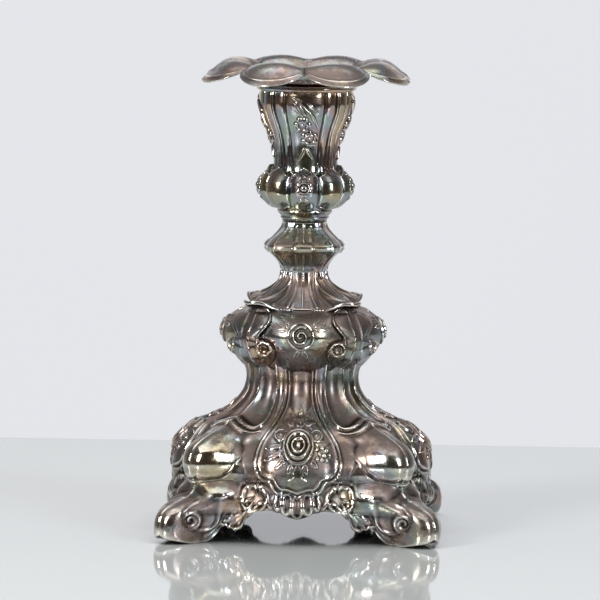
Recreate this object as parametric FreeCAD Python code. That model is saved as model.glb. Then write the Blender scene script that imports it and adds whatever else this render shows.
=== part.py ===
import FreeCAD, Part
import math
import os

from FreeCAD import Vector

# An altar candlestick of silver-plated brass: a square base on four scroll feet, a shoulder with
# four corner brackets, a knopped stem, a bulb and a vase socket, all clamped on one tie rod, with
# a lift-out nozzle that carries the petalled drip pan. Millimetres. The origin is on the table
# under the centre of the base; +Z is up; the four faces look along +X, -X, +Y and -Y.

# Overall sizes
FOOT_TIP = 70.5            # from the axis to a foot's tip, along X and along Y
PAN_TOP = 236.0            # crest of the drip pan's petals
PAN_RADIUS = 54.6          # from the axis to the tip of a petal
RIM_RADIUS = 25.0          # rolled rim of the socket

# Levels where one piece meets the next
SEAT_Z = 30.5              # feet and aprons end here, the base shell begins
WAIST_Z = 77.0
SKIRT_TOP = 130.0
KNOP_Z = 142.5             # equator of the knop
NECK_Z = 154.5
BULB_Z = 160.0
VASE_Z = 181.0
VASE_TOP = 220.2
RIM_TOP = 223.5

# Walls and clearances
WALL = 0.9
PAN_WALL = 0.8
CAST_WALL = 2.2
BRACKET_SINK = 0.1         # a bracket's back is sunk this far into the shoulder, where it is soldered

# Candle nozzle and the liner that it drops into
CANDLE_R = 11.25           # bore for a 22 mm candle
SLEEVE_R = 11.8
LINER_BORE_R = 12.1
LINER_R = 12.85
SLEEVE_FLOOR = 198.5
SLEEVE_MOUTH = 225.3

# Tie rod and the underside
ROD_R = 2.45
ROD_HOLE_R = 2.7
ROD_BOTTOM = 15.0
ROD_TOP = 189.0
PLATE_Z = 20.1             # underside of the bottom plate
PLATE_T = 1.2
FELT_T = 1.2
INSIDE_Y = 55.4            # half-width of the space between opposite aprons
FOOT_NOTCH = 36.6          # the plate is notched at this distance to clear the feet

STEPS = 96                 # stations round a four-sided or lobed ring
APRON_ANGLE = 31.5         # half of the angle that an apron spans, degrees
BRACKET_ANGLE = 15.0

# Rows of a four-sided shell, from its lower edge up: height and radius at the middle of a face,
# then the same at a corner
BASE_ROWS = [
    (SEAT_Z, 62.3, SEAT_Z, 74.0),
    (33.0, 63.6, 33.0, 75.4),
    (37.0, 64.0, 37.0, 76.4),
    (41.0, 63.0, 41.0, 76.0),
    (45.4, 60.4, 45.4, 72.2),
    (49.6, 56.0, 49.6, 64.5),
    (52.6, 51.3, 52.6, 56.0),
    (55.7, 45.4, 55.7, 49.4),
    (59.0, 39.8, 59.0, 42.5),
    (62.6, 34.8, 62.6, 37.6),
    (67.0, 30.6, 67.0, 33.2),
    (72.0, 28.4, 72.0, 30.2),
    (77.0, 27.75, 77.0, 29.0),
]
SHOULDER_ROWS = [
    (77.0, 27.75, 77.0, 29.0),
    (81.0, 28.4, 81.0, 28.4),
    (84.8, 30.0, 84.8, 28.0),
    (88.5, 33.0, 88.5, 27.7),
    (92.3, 36.5, 92.3, 27.6),
    (96.0, 39.3, 96.0, 27.6),
    (99.8, 40.5, 99.8, 27.6),
    (103.5, 39.3, 103.5, 27.5),
    (107.0, 36.3, 107.0, 27.1),
    (109.6, 31.5, 109.6, 26.0),
    (110.8, 26.5, 110.8, 23.8),
    (111.1, 20.5, 111.1, 20.5),
]
SKIRT_ROWS = [
    (111.4, 21.7, 115.4, 37.4),
    (113.8, 20.6, 117.2, 31.8),
    (116.4, 18.7, 119.2, 26.2),
    (119.6, 16.2, 121.6, 21.0),
    (123.0, 14.0, 124.2, 16.6),
    (126.6, 12.4, 127.0, 13.4),
    (130.0, 12.0, 130.0, 12.3),
]
LOWER_KNOP_ROWS = [
    (130.0, 12.0, 130.0, 12.3),
    (132.8, 12.6, 132.8, 13.2),
    (135.2, 13.9, 135.2, 15.2),
    (137.6, 15.9, 137.6, 17.8),
    (140.2, 19.1, 140.2, 21.6),
    (KNOP_Z, 20.3, KNOP_Z, 22.6),
]
UPPER_KNOP_ROWS = [
    (KNOP_Z, 20.3, KNOP_Z, 22.6),
    (144.8, 19.1, 144.8, 21.4),
    (147.4, 16.1, 147.4, 18.0),
    (150.1, 13.3, 150.1, 14.4),
    (NECK_Z, 11.3, NECK_Z, 11.4),
]
VASE_ROWS = [
    (VASE_Z, 16.7, VASE_Z, 16.9),
    (186.5, 16.2, 186.5, 16.6),
    (192.5, 16.7, 192.5, 17.2),
    (198.5, 18.4, 198.5, 19.0),
    (205.3, 21.5, 205.3, 22.2),
    (210.5, 23.5, 210.5, 24.2),
    (215.0, 24.3, 215.0, 24.8),
    (VASE_TOP, 24.0, VASE_TOP, 24.2),
]
# Rows of the bulb: height, radius in a valley, radius on a lobe
BULB_ROWS = [
    (BULB_Z, 13.6, 14.4),
    (163.0, 16.8, 19.2),
    (166.2, 19.6, 22.5),
    (170.2, 20.7, 24.0),
    (174.8, 19.8, 23.2),
    (178.2, 17.8, 20.4),
    (VASE_Z, 16.3, 16.9),
]
# Rows of the drip pan's upper side, from its edge to the sleeve: radius and height in a valley
# between two petals, then the same on the middle of a petal
PAN_ROWS = [
    (43.2, 230.5, PAN_RADIUS, 224.8),
    (41.6, 231.8, 48.8, 230.4),
    (39.6, 232.7, 44.6, 234.2),
    (37.0, 233.2, 40.0, PAN_TOP),
    (34.2, 232.6, 35.8, 235.6),
    (31.4, 230.4, 32.2, 232.8),
    (28.4, 226.8, 29.0, 227.8),
    (25.6, 225.0, 25.8, 225.2),
    (23.0, 224.5, 23.0, 224.5),
    (19.5, 224.5, 19.5, 224.5),
    (15.5, 224.5, 15.5, 224.5),
    (11.85, 224.5, 11.85, 224.5),
]
# Rows of a scroll foot: height, and its inner and outer limits along X and along Y
FOOT_ROWS = [
    (0.0, 45.5, 57.5),
    (1.4, 42.6, 63.5),
    (3.6, 40.8, 68.4),
    (6.5, 39.6, 70.2),
    (10.0, 38.9, FOOT_TIP),
    (13.5, 38.5, 70.0),
    (17.0, 38.3, 67.0),
    (20.5, 38.2, 61.6),
    (24.0, 38.1, 55.8),
    (27.5, 38.2, 53.0),
    (SEAT_Z, 38.4, 52.4),
]
# Lower edge of an apron: how far along the face, as a share of its half-width, and the height.
# The shell tip hangs at the middle, and a leaf hangs beside each foot.
APRON_EDGE = [(0.0, 14.0), (0.22, 16.0), (0.38, 19.0), (0.55, 18.0), (0.7, 12.5), (0.85, 7.0),
              (1.0, 9.0)]
# How far an apron flares out below the base shell's edge, at the middle of the face: share of
# the drop and the flare
APRON_FLARE = [(0.0, 0.0), (0.25, 3.4), (0.5, 6.0), (0.75, 7.7), (1.0, 4.6)]
# Corner bracket, on the diagonal: height and radius of its ridge
BRACKET_ROWS = [(82.6, 31.0), (84.5, 34.6), (88.0, 37.4), (93.0, 38.6), (100.0, 39.4),
                (106.0, 37.2), (110.6, 33.6)]


def polar(radius, angle, height):
    """A point at an angle in degrees round the axis."""
    turn = math.radians(angle)
    return Vector(radius * math.cos(turn), radius * math.sin(turn), height)


def mix(first, second, share):
    return first + (second - first) * share


def interpolate(points, place):
    """Height on a broken line of (place, height) points."""
    for (left, low), (right, high) in zip(points, points[1:]):
        if place <= right:
            return mix(low, high, (place - left) / (right - left))
    return points[-1][1]


def ring_angles(steps=STEPS):
    return [360.0 * step / steps for step in range(steps)] + [0.0]


def corner_share(angle, sharpness):
    """0 at the middle of each face and 1 at each corner; more sharpness gives flatter faces."""
    return abs(math.sin(math.radians(2 * angle))) ** (2 * sharpness)


def four_sided(rows, sharpness):
    """Rings of points for a shell with four faces and four corners."""
    rings = []
    for face_z, face_r, corner_z, corner_r in rows:
        ring = []
        for angle in ring_angles():
            share = corner_share(angle, sharpness)
            ring.append(polar(mix(face_r, corner_r, share), angle, mix(face_z, corner_z, share)))
        rings.append(ring)
    return rings


def lobed(rows):
    """Rings of points for the bulb, with lobes at 0, 45, 90 degrees and so on."""
    rings = []
    for height, valley_r, lobe_r in rows:
        ring = []
        for angle in ring_angles():
            share = (0.5 + 0.5 * math.cos(math.radians(8 * angle))) ** 0.6
            ring.append(polar(mix(valley_r, lobe_r, share), angle, height))
        rings.append(ring)
    return rings


def petalled(rows):
    """Rings of points for the drip pan: eight petals, with a valley on the middle of each face."""
    rings = []
    for valley_r, valley_z, petal_r, petal_z in rows:
        ring = []
        for angle in ring_angles(2 * STEPS):
            share = abs(math.sin(math.radians(4 * angle))) ** 0.6
            ring.append(polar(mix(valley_r, petal_r, share), angle, mix(valley_z, petal_z, share)))
        rings.append(ring)
    return rings


def offset_inwards(rings, distance, flat_ends=True):
    """The rings moved to the inner side of a closed sheet whose rows run upwards, or to the
    underside of one whose rows run inwards. With flat_ends the first and last rings keep their
    heights and only move towards the axis."""
    moved = []
    for row, ring in enumerate(rings):
        above = rings[max(row - 1, 0)]
        below = rings[min(row + 1, len(rings) - 1)]
        count = len(ring) - 1
        line = []
        for index, point in enumerate(ring):
            across = ring[(index + 1) % count] - ring[(index - 1) % count]
            along = below[index] - above[index]
            inward = along.cross(across)
            if flat_ends and row in (0, len(rings) - 1):
                inward = Vector(-point.x, -point.y, 0)
            inward.normalize()
            line.append(point + inward * distance)
        moved.append(line)
    return moved


def row_parameters(rings):
    """Spline parameters of the rows, spaced by the mean distance from one row to the next."""
    places = [0.0]
    for above, below in zip(rings, rings[1:]):
        gaps = [first.distanceToPoint(second) for first, second in zip(above, below)]
        places.append(places[-1] + sum(gaps) / len(gaps))
    return [place / places[-1] for place in places]


def surface(rings, closed=True):
    """A cubic sheet that passes through every row; a closed one joins up round the axis."""
    parameters = row_parameters(rings)
    columns = []
    for column in zip(*rings):
        curve = Part.BSplineCurve()
        curve.interpolate(Points=list(column), Parameters=parameters)
        columns.append(curve.getPoles())
    if closed:
        columns = columns[:-1]
        around_knots = list(range(len(columns) + 1))
        around_mults = [1] * len(around_knots)
    else:
        around_knots = list(range(len(columns) - 2))
        around_mults = [4] + [1] * (len(around_knots) - 2) + [4]
    sheet = Part.BSplineSurface()
    sheet.buildFromPolesMultsKnots(columns, around_mults, curve.getMultiplicities(), around_knots,
                                   curve.getKnots(), closed, False, 3, curve.Degree)
    return sheet.toShape()


def solid_of(faces):
    shell = Part.makeShell(faces)
    shell.sewShape()
    solid = Part.makeSolid(shell)
    if solid.Volume < 0:
        solid.reverse()
    return solid


def tube(outer_rings, inner_rings):
    """A solid between two closed sheets of rings, open at both ends."""
    outer = surface(outer_rings)
    inner = surface(inner_rings)
    ends = [Part.makeRuledSurface(a, b) for a, b in zip(outer.Edges, inner.Edges) if a.isClosed()]
    return solid_of([outer, inner] + ends)


def panel(outer_grid, inner_grid):
    """A solid between two open sheets that have the same rows and columns."""
    outer = surface(outer_grid, closed=False)
    inner = surface(inner_grid, closed=False)
    sides = [Part.makeRuledSurface(a, b) for a, b in zip(outer.Edges, inner.Edges)]
    return solid_of([outer, inner] + sides)


def capped(rings):
    """A solid inside one closed sheet whose end rings are flat."""
    side = surface(rings)
    caps = [Part.Face(Part.Wire([edge])) for edge in side.Edges if edge.isClosed()]
    return solid_of([side] + caps)


def turned(profile):
    """A body of revolution from a closed (radius, height) outline."""
    points = [Vector(radius, 0, height) for radius, height in profile]
    face = Part.Face(Part.makePolygon(points + points[:1]))
    return face.revolve(Vector(0, 0, 0), Vector(0, 0, 1), 360)


def prism(outline, bottom, height):
    points = [Vector(x, y, bottom) for x, y in outline]
    return Part.Face(Part.makePolygon(points + points[:1])).extrude(Vector(0, 0, height))


def post(radius, bottom, top):
    return Part.makeCylinder(radius, top - bottom, Vector(0, 0, bottom))


def quarter_turned(shape, quarter):
    turned_copy = shape.copy()
    turned_copy.rotate(Vector(0, 0, 0), Vector(0, 0, 1), 90 * quarter)
    return turned_copy


def notched_square():
    """Plan of the space between the aprons, notched at the corners to clear the feet."""
    outline = []
    corner = [(INSIDE_Y, -FOOT_NOTCH), (INSIDE_Y, FOOT_NOTCH), (FOOT_NOTCH, FOOT_NOTCH)]
    for quarter in range(4):
        turn = math.radians(90 * quarter)
        for x, y in corner:
            outline.append((x * math.cos(turn) - y * math.sin(turn),
                            x * math.sin(turn) + y * math.cos(turn)))
    return outline


def base_edge_radius(angle):
    """Radius of the base shell's lower edge; angle 0 is the middle of a face."""
    _, face_r, _, corner_r = BASE_ROWS[0]
    return mix(face_r, corner_r, corner_share(angle, BASE_SHARPNESS))


def shoulder_radius(height, angle):
    """Radius of the shoulder shell at a height and an angle from the middle of a face."""
    face_r = interpolate([(row[0], row[1]) for row in SHOULDER_ROWS], height)
    corner_r = interpolate([(row[2], row[3]) for row in SHOULDER_ROWS], height)
    return mix(face_r, corner_r, corner_share(angle, SHOULDER_SHARPNESS))


BASE_SHARPNESS = 3.0
SHOULDER_SHARPNESS = 1.0
SKIRT_SHARPNESS = 1.6


def walled(rings):
    return tube(rings, offset_inwards(rings, WALL))


def foot():
    """The scroll foot under the corner at +X +Y, pointed at its outer corner."""
    rings = []
    for height, inner, outer in FOOT_ROWS:
        middle = (inner + outer) / 2
        half = (outer - inner) / 2
        ring = []
        for angle in ring_angles(48):
            power = 3.0 + 6.0 * max(0.0, math.cos(math.radians(angle - 45))) ** 6
            across = abs(math.cos(math.radians(angle))) ** power
            along = abs(math.sin(math.radians(angle))) ** power
            radius = half * (across + along) ** (-1 / power)
            ring.append(Vector(middle, middle, 0) + polar(radius, angle, height))
        rings.append(ring)
    return capped(rings)


def apron():
    """The cast apron on the +X face: a shell over C-scrolls, hung between two feet."""
    outer_grid = []
    inner_grid = []
    for drop in (1.0, 0.85, 0.7, 0.55, 0.4, 0.25, 0.12, 0.0):
        outer_row = []
        inner_row = []
        for step in range(-18, 19):
            share = step / 18
            angle = APRON_ANGLE * share
            radius = base_edge_radius(angle)
            height = mix(SEAT_Z, interpolate(APRON_EDGE, abs(share)), drop)
            flare = interpolate(APRON_FLARE, drop) * (1 - share * share)
            outer_row.append(polar(radius + flare, angle, height))
            inner_row.append(polar(radius + flare - CAST_WALL, angle, height))
        outer_grid.append(outer_row)
        inner_grid.append(inner_row)
    return panel(outer_grid, inner_grid)


def bracket():
    """The corner bracket at +X +Y: a scroll console standing against the shoulder."""
    outer_grid = []
    inner_grid = []
    bottom = BRACKET_ROWS[0][0]
    top = BRACKET_ROWS[-1][0]
    for level in range(13):
        height = mix(bottom, top, level / 12)
        ridge_r = interpolate(BRACKET_ROWS, height)
        outer_row = []
        inner_row = []
        for step in range(-6, 7):
            share = step / 6
            angle = 45 + BRACKET_ANGLE * share
            seat = shoulder_radius(height, angle) - BRACKET_SINK
            rise = (1 - abs(share)) ** 0.9
            outer_row.append(polar(seat + 1.6 + (ridge_r - seat - 1.6) * rise, angle, height))
            inner_row.append(polar(seat, angle, height))
        outer_grid.append(outer_row)
        inner_grid.append(inner_row)
    return panel(outer_grid, inner_grid)


def base_filling():
    """The weight cast inside the base, bored for the tie rod."""
    rows = [row for row in BASE_ROWS if row[0] < WAIST_Z]
    rings = offset_inwards(four_sided(rows, BASE_SHARPNESS), WALL + 0.5)
    for point in rings[0]:
        point.z += 0.1
    block = prism(notched_square(), PLATE_Z + PLATE_T, SEAT_Z + 1 - PLATE_Z - PLATE_T)
    return capped(rings).fuse(block).removeSplitter().cut(post(ROD_HOLE_R, 0, WAIST_Z))


def socket_rim():
    """The deck that closes the vase round the liner, with its rolled outer rim."""
    roll_r = 1.62
    roll_centre = RIM_RADIUS - roll_r
    deck_top = RIM_TOP - 0.3
    deck_bottom = deck_top - PAN_WALL
    roll_z = RIM_TOP - roll_r
    top_reach = math.sqrt(roll_r ** 2 - (deck_top - roll_z) ** 2)
    low_reach = math.sqrt(roll_r ** 2 - (deck_bottom - roll_z) ** 2)
    top_join = Vector(roll_centre - top_reach, 0, deck_top)
    low_join = Vector(roll_centre - low_reach, 0, deck_bottom)
    hole_r = LINER_R + 0.1
    hole_top = Vector(hole_r, 0, deck_top)
    hole_bottom = Vector(hole_r, 0, deck_bottom)
    edges = [
        Part.LineSegment(hole_top, top_join).toShape(),
        Part.Arc(top_join, Vector(RIM_RADIUS, 0, roll_z), low_join).toShape(),
        Part.LineSegment(low_join, hole_bottom).toShape(),
        Part.LineSegment(hole_bottom, hole_top).toShape(),
    ]
    return Part.Face(Part.Wire(edges)).revolve(Vector(0, 0, 0), Vector(0, 0, 1), 360)


def socket_liner():
    """The cup inside the vase that takes the nozzle, with the boss that the tie rod screws into."""
    floor = 188.0
    boss_bottom = 182.0
    return turned([
        (ROD_R + 0.1, boss_bottom), (6.0, boss_bottom), (6.0, floor), (LINER_R, floor),
        (LINER_R, RIM_TOP - 0.3), (LINER_BORE_R, RIM_TOP - 0.3), (LINER_BORE_R, floor + 1.2),
        (ROD_R + 0.1, floor + 1.2),
    ])


def nozzle_sleeve():
    """The candle cup: a blind bore with a narrow lip that seats on the drip pan."""
    lip_bottom = SLEEVE_MOUTH - 0.7
    lip_r = 13.4
    return turned([
        (0.0, SLEEVE_FLOOR - 1), (SLEEVE_R, SLEEVE_FLOOR - 1), (SLEEVE_R, lip_bottom),
        (lip_r, lip_bottom), (lip_r, SLEEVE_MOUTH), (CANDLE_R, SLEEVE_MOUTH),
        (CANDLE_R, SLEEVE_FLOOR), (0.0, SLEEVE_FLOOR),
    ])


def neck_ring():
    """The turned neck between knop and bulb, with a small step ring."""
    return turned([
        (ROD_HOLE_R, NECK_Z), (11.2, NECK_Z), (11.0, 155.6), (11.9, 156.4), (11.9, 157.6),
        (12.6, 158.6), (14.2, BULB_Z), (ROD_HOLE_R, BULB_Z),
    ])


def rod_nut():
    """Hexagonal nut on the lower end of the tie rod."""
    across_corners = 5.2
    outline = [(across_corners * math.cos(math.radians(60 * k)),
                across_corners * math.sin(math.radians(60 * k))) for k in range(6)]
    nut_bottom = ROD_BOTTOM + 0.6
    washer_bottom = PLATE_Z - 1.0
    nut = prism(outline, nut_bottom, washer_bottom - nut_bottom)
    return nut.cut(post(ROD_R + 0.1, 0, PLATE_Z))


def rod_washer():
    return post(6.5, PLATE_Z - 1.0, PLATE_Z).cut(post(ROD_HOLE_R, 0, PLATE_Z))


def bottom_plate():
    return prism(notched_square(), PLATE_Z, PLATE_T).cut(post(ROD_HOLE_R, 0, WAIST_Z))


def felt_lining():
    """Felt glued under the bottom plate, with a hole round the nut and washer."""
    return prism(notched_square(), PLATE_Z - FELT_T, FELT_T).cut(post(7.5, 0, PLATE_Z))


def export(shape, node):
    shape.exportStep("parts/" + node + ".step")
    print(node, "valid" if shape.isValid() else "INVALID", round(shape.Volume, 1))


os.makedirs("parts", exist_ok=True)

FACES = ["right", "rear", "left", "front"]
CORNERS = ["rear_right", "rear_left", "front_left", "front_right"]
one_foot = foot()
one_apron = apron()
one_bracket = bracket()
for quarter, corner in enumerate(CORNERS):
    export(quarter_turned(one_foot, quarter), "foot_" + corner)
    export(quarter_turned(one_bracket, quarter), "bracket_" + corner)
for quarter, face in enumerate(FACES):
    export(quarter_turned(one_apron, quarter), "apron_" + face)

export(walled(four_sided(BASE_ROWS, BASE_SHARPNESS)), "base_shell")
export(walled(four_sided(SHOULDER_ROWS, SHOULDER_SHARPNESS)), "shoulder_shell")
export(walled(four_sided(SKIRT_ROWS, SKIRT_SHARPNESS)), "stem_skirt")
export(walled(four_sided(LOWER_KNOP_ROWS, 1.0)), "knop_lower")
export(walled(four_sided(UPPER_KNOP_ROWS, 1.0)), "knop_upper")
export(neck_ring(), "neck_ring")
export(walled(lobed(BULB_ROWS)), "socket_bulb")
export(walled(four_sided(VASE_ROWS, 1.0)), "socket_vase")
export(socket_rim(), "socket_rim")
export(socket_liner(), "socket_liner")
export(post(ROD_R, ROD_BOTTOM, ROD_TOP), "tie_rod")
export(rod_nut(), "rod_nut")
export(rod_washer(), "rod_washer")
export(base_filling(), "base_filling")
export(bottom_plate(), "bottom_plate")
export(felt_lining(), "felt_lining")

pan_top = petalled(PAN_ROWS)
pan_underside = offset_inwards(pan_top, PAN_WALL, flat_ends=False)
export(tube(pan_top, pan_underside), "drip_pan")
export(nozzle_sleeve(), "nozzle_sleeve")
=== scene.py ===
import math

import bpy
import numpy as np
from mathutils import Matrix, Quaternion, Vector


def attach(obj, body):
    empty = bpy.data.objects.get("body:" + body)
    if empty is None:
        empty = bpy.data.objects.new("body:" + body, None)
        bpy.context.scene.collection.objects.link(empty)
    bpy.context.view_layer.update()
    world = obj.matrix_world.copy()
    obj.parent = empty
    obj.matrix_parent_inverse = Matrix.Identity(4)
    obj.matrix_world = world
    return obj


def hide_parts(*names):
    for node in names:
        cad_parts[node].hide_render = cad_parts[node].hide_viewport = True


# The looks of a silver-plated altar candlestick in the rococo revival style. Outlines and relief
# are worked in millimetres: "across" runs along a face from its centre line, "up" is the height
# above the table, and a face is built looking along -Y before it is turned to its own side.

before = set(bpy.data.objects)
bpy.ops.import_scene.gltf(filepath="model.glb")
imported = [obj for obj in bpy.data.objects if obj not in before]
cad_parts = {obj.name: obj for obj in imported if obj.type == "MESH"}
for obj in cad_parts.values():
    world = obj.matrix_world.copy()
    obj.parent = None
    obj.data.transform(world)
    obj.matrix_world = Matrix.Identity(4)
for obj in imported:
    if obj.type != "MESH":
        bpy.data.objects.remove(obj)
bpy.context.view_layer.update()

MM = 0.001
FACES = ["front", "right", "rear", "left"]
CORNERS = ["front_right", "rear_right", "rear_left", "front_left"]


# ---------------------------------------------------------------- curves and tables

def through(table, at, place=0, value=1):
    """A smooth curve through a table's rows that never overshoots them; place and value are the
    columns to use."""
    places = np.array([row[place] for row in table], float)
    values = np.array([row[value] for row in table], float)
    gaps = np.diff(places)
    slopes = np.diff(values) / gaps
    bends = np.zeros(len(values))
    bends[0], bends[-1] = slopes[0], slopes[-1]
    before, after = slopes[:-1], slopes[1:]
    same = before * after > 0
    first = 2 * gaps[1:] + gaps[:-1]
    second = gaps[1:] + 2 * gaps[:-1]
    safe_before = np.where(same, before, 1)
    safe_after = np.where(same, after, 1)
    bends[1:-1] = np.where(same, (first + second) / (first / safe_before + second / safe_after), 0)
    at = np.clip(np.asarray(at, float), places[0], places[-1])
    k = np.clip(np.searchsorted(places, at, side="right") - 1, 0, len(gaps) - 1)
    t = (at - places[k]) / gaps[k]
    left = (1 + 2 * t) * (1 - t) ** 2 * values[k] + t * (1 - t) ** 2 * gaps[k] * bends[k]
    right = t * t * (3 - 2 * t) * values[k + 1] + t * t * (t - 1) * gaps[k] * bends[k + 1]
    return left + right


def curve(points, steps=8):
    """A rounded line through a few points, in two or three dimensions."""
    knots = np.array(points, float)
    knots = np.vstack([2 * knots[0] - knots[1], knots, 2 * knots[-1] - knots[-2]])
    line = []
    for a, b, c, d in zip(knots, knots[1:], knots[2:], knots[3:]):
        for t in np.arange(steps) / steps:
            line.append(0.5 * (2 * b + (c - a) * t + (2 * a - 5 * b + 4 * c - d) * t ** 2
                + (3 * b - a - 3 * c + d) * t ** 3))
    line.append(knots[-2])
    return np.array(line)


def spiral(centre, outer, inner, start, turns, steps=40):
    """A spiral that winds in from the outer radius; angles are in degrees, turns may be negative."""
    share = np.linspace(0, 1, steps)
    angle = np.radians(start + 360 * turns * share)
    radius = outer + (inner - outer) * share
    return np.stack([centre[0] + radius * np.cos(angle), centre[1] + radius * np.sin(angle)], 1)


def ease(value, low, high):
    """0 below low, 1 above high, and a smooth step between."""
    t = np.clip((value - low) / (high - low), 0, 1)
    return t * t * (3 - 2 * t)


# ---------------------------------------------------------------- relief

class Relief:
    """Heights above a ground surface, at points given by their place across and up a face. Where the
    two halves of a face are alike, across is the distance to either side of its centre line."""

    def __init__(self, across, up, alike=True):
        self.across = np.abs(across) if alike else across
        self.up = up
        self.body = np.zeros(across.shape)    # rounded masses, which add up
        self.line = np.zeros(across.shape)    # crisp strokes, of which the highest shows
        self.cut = np.zeros(across.shape)     # grooves, of which the deepest shows

    def crest(self, rise):
        self.line = np.maximum(self.line, rise)

    def reach(self, line, width):
        """Which points lie within width of the line, how far off, and how far along it."""
        line = np.asarray(line, float)
        x, z = self.across, self.up
        low = line.min(0) - width
        high = line.max(0) + width
        near = (x > low[0]) & (x < high[0]) & (z > low[1]) & (z < high[1])
        px, pz = x[near], z[near]
        best = np.full(px.shape, 1e9)
        along = np.zeros(px.shape)
        lengths = np.hypot(*np.diff(line, axis=0).T)
        starts = np.concatenate([[0], np.cumsum(lengths)])
        for k, length in enumerate(lengths):
            if length < 1e-9:
                continue
            dx, dz = (line[k + 1] - line[k]) / length
            t = np.clip((px - line[k][0]) * dx + (pz - line[k][1]) * dz, 0, length)
            gap = np.hypot(px - line[k][0] - t * dx, pz - line[k][1] - t * dz)
            closer = gap < best
            best[closer] = gap[closer]
            along[closer] = ((starts[k] + t) / starts[-1])[closer]
        return near, best, along

    def stroke(self, line, width, height, taper=(1, 1, 1), sharp=0.55):
        """A rounded ridge along a line; taper scales its width at the start, middle and end."""
        near, gap, along = self.reach(line, width)
        size = np.interp(along, [0, 0.5, 1], taper)
        rise = height * np.sqrt(size) * np.clip(1 - (gap / (width * size)) ** 2, 0, 1) ** sharp
        self.line[near] = np.maximum(self.line[near], rise)

    def crisp(self, line, width, height, taper=(1, 1, 1)):
        self.stroke(line, width, height, taper, sharp=0.8)

    def groove(self, line, width, depth):
        near, gap, _ = self.reach(line, width)
        drop = depth * np.clip(1 - (gap / width) ** 2, 0, 1)
        self.cut[near] = np.maximum(self.cut[near], drop)

    def dome(self, centre, radii, height, sharp=1.0, layer="body"):
        """An oval mass; sharp below 1 gives it steep sides."""
        a, b = (self.across - centre[0]) / radii[0], (self.up - centre[1]) / radii[1]
        rise = height * np.clip(1 - a ** 2 - b ** 2, 0, 1) ** sharp
        if layer == "body":
            self.body += rise
        elif layer == "cut":
            self.cut = np.maximum(self.cut, rise)
        else:
            self.crest(rise)

    def bead(self, centre, radius, height):
        self.dome(centre, (radius, radius), height, 0.5, "line")

    def bead_ring(self, centre, distance, start, radius, height):
        """Six beads, from a starting angle in degrees."""
        for place in np.radians(start + 60.0 * np.arange(6)):
            spot = centre[0] + distance * math.cos(place), centre[1] + distance * math.sin(place)
            self.bead(spot, radius, height)

    def leaf(self, root, tip, width, height, lobes=0, vein=0.35):
        """A pointed leaf with a sunk vein and, with lobes, a cut edge."""
        root, tip = np.array(root, float), np.array(tip, float)
        length = np.hypot(*(tip - root))
        dx, dz = (tip - root) / length
        x, z = self.across - root[0], self.up - root[1]
        t = (x * dx + z * dz) / length
        s = -x * dz + z * dx
        inside = np.clip(t, 0, 1)
        edge = width * np.sin(np.pi * inside ** 0.75) ** 0.8
        if lobes:
            edge = edge * (0.82 + 0.18 * np.abs(np.sin(lobes * np.pi * inside)))
        share = np.clip(1 - (s / np.maximum(edge, 1e-3)) ** 2, 0, 1)
        rise = height * share ** 0.5 * (1 - vein * np.exp(-(s / (0.22 * width)) ** 2))
        self.crest(np.where((t > 0) & (t < 1), rise, 0))

    def flower(self, centre, radius, height, petals):
        """An open flower: a ring of cupped petals round a bead."""
        x, z = self.across - centre[0], self.up - centre[1]
        far = np.hypot(x, z)
        phase = 0.5 * petals * np.arctan2(z, x)
        share = far / (radius * (0.84 + 0.16 * np.abs(np.cos(phase))))
        cup = 0.55 + 0.45 * ease(share, 0.35, 0.85)
        gap = 1 - 0.45 * np.exp(-(np.sin(phase + math.pi / 2) / 0.16) ** 2)
        rise = height * cup * gap * np.clip((1 - share) / 0.14, 0, 1) ** 0.5
        self.line = np.where(share < 1, rise, self.line)
        bead = radius * 0.26
        rise = height * 1.15 * np.clip(1 - (far / bead) ** 2, 0, 1) ** 0.5
        self.line = np.where(far < bead, np.maximum(rise, height * 0.35), self.line)

    def rise(self):
        """Height everywhere, with its sharpest corners rubbed down a little."""
        rise = self.body + self.line - self.cut
        for axis in (0, 1, 0, 1):
            wide = np.concatenate([np.take(rise, [0], axis), rise, np.take(rise, [-1], axis)], axis)
            low, high = np.split(wide, [-2], axis)[0], np.split(wide, [2], axis)[1]
            rise = (low + 2 * rise + high) / 4
        return rise


# ---------------------------------------------------------------- meshes

def normals_of(grid, wrap):
    """Outward normals of a grid whose columns run anticlockwise and whose rows run upwards."""
    if wrap:
        across = np.roll(grid, -1, 1) - np.roll(grid, 1, 1)
    else:
        across = np.gradient(grid, axis=1)
    along = np.gradient(grid, axis=0)
    normal = np.cross(across, along)
    return normal / np.maximum(np.linalg.norm(normal, axis=2, keepdims=True), 1e-9)


def grid_faces(rows, columns, wrap, first=0):
    index = first + np.arange(rows * columns).reshape(rows, columns)
    if wrap:
        index = np.concatenate([index, index[:, :1]], 1)
    return np.stack([index[:-1, :-1], index[:-1, 1:], index[1:, 1:], index[1:, :-1]], 2).reshape(-1, 4)


def read(values, key, width, kind):
    data = np.zeros(len(values) * width, kind)
    values.foreach_get(key, data)
    return data.reshape(-1, width)


def mesh_object(name, points, quads):
    """A smooth-shaded, weathered object from points in millimetres and four-cornered faces."""
    mesh = bpy.data.meshes.new(name)
    mesh.vertices.add(len(points))
    mesh.vertices.foreach_set("co", (np.asarray(points) * MM).astype(np.float32).ravel())
    mesh.loops.add(4 * len(quads))
    mesh.loops.foreach_set("vertex_index", quads.astype(np.int32).ravel())
    mesh.polygons.add(len(quads))
    mesh.polygons.foreach_set("loop_start", np.arange(0, 4 * len(quads), 4, dtype=np.int32))
    mesh.update(calc_edges=True)
    mesh.validate()
    mesh.polygons.foreach_set("use_smooth", np.ones(len(mesh.polygons), bool))
    piece = bpy.data.objects.new(name, mesh)
    bpy.context.scene.collection.objects.link(piece)
    weather(mesh)
    return piece


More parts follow.
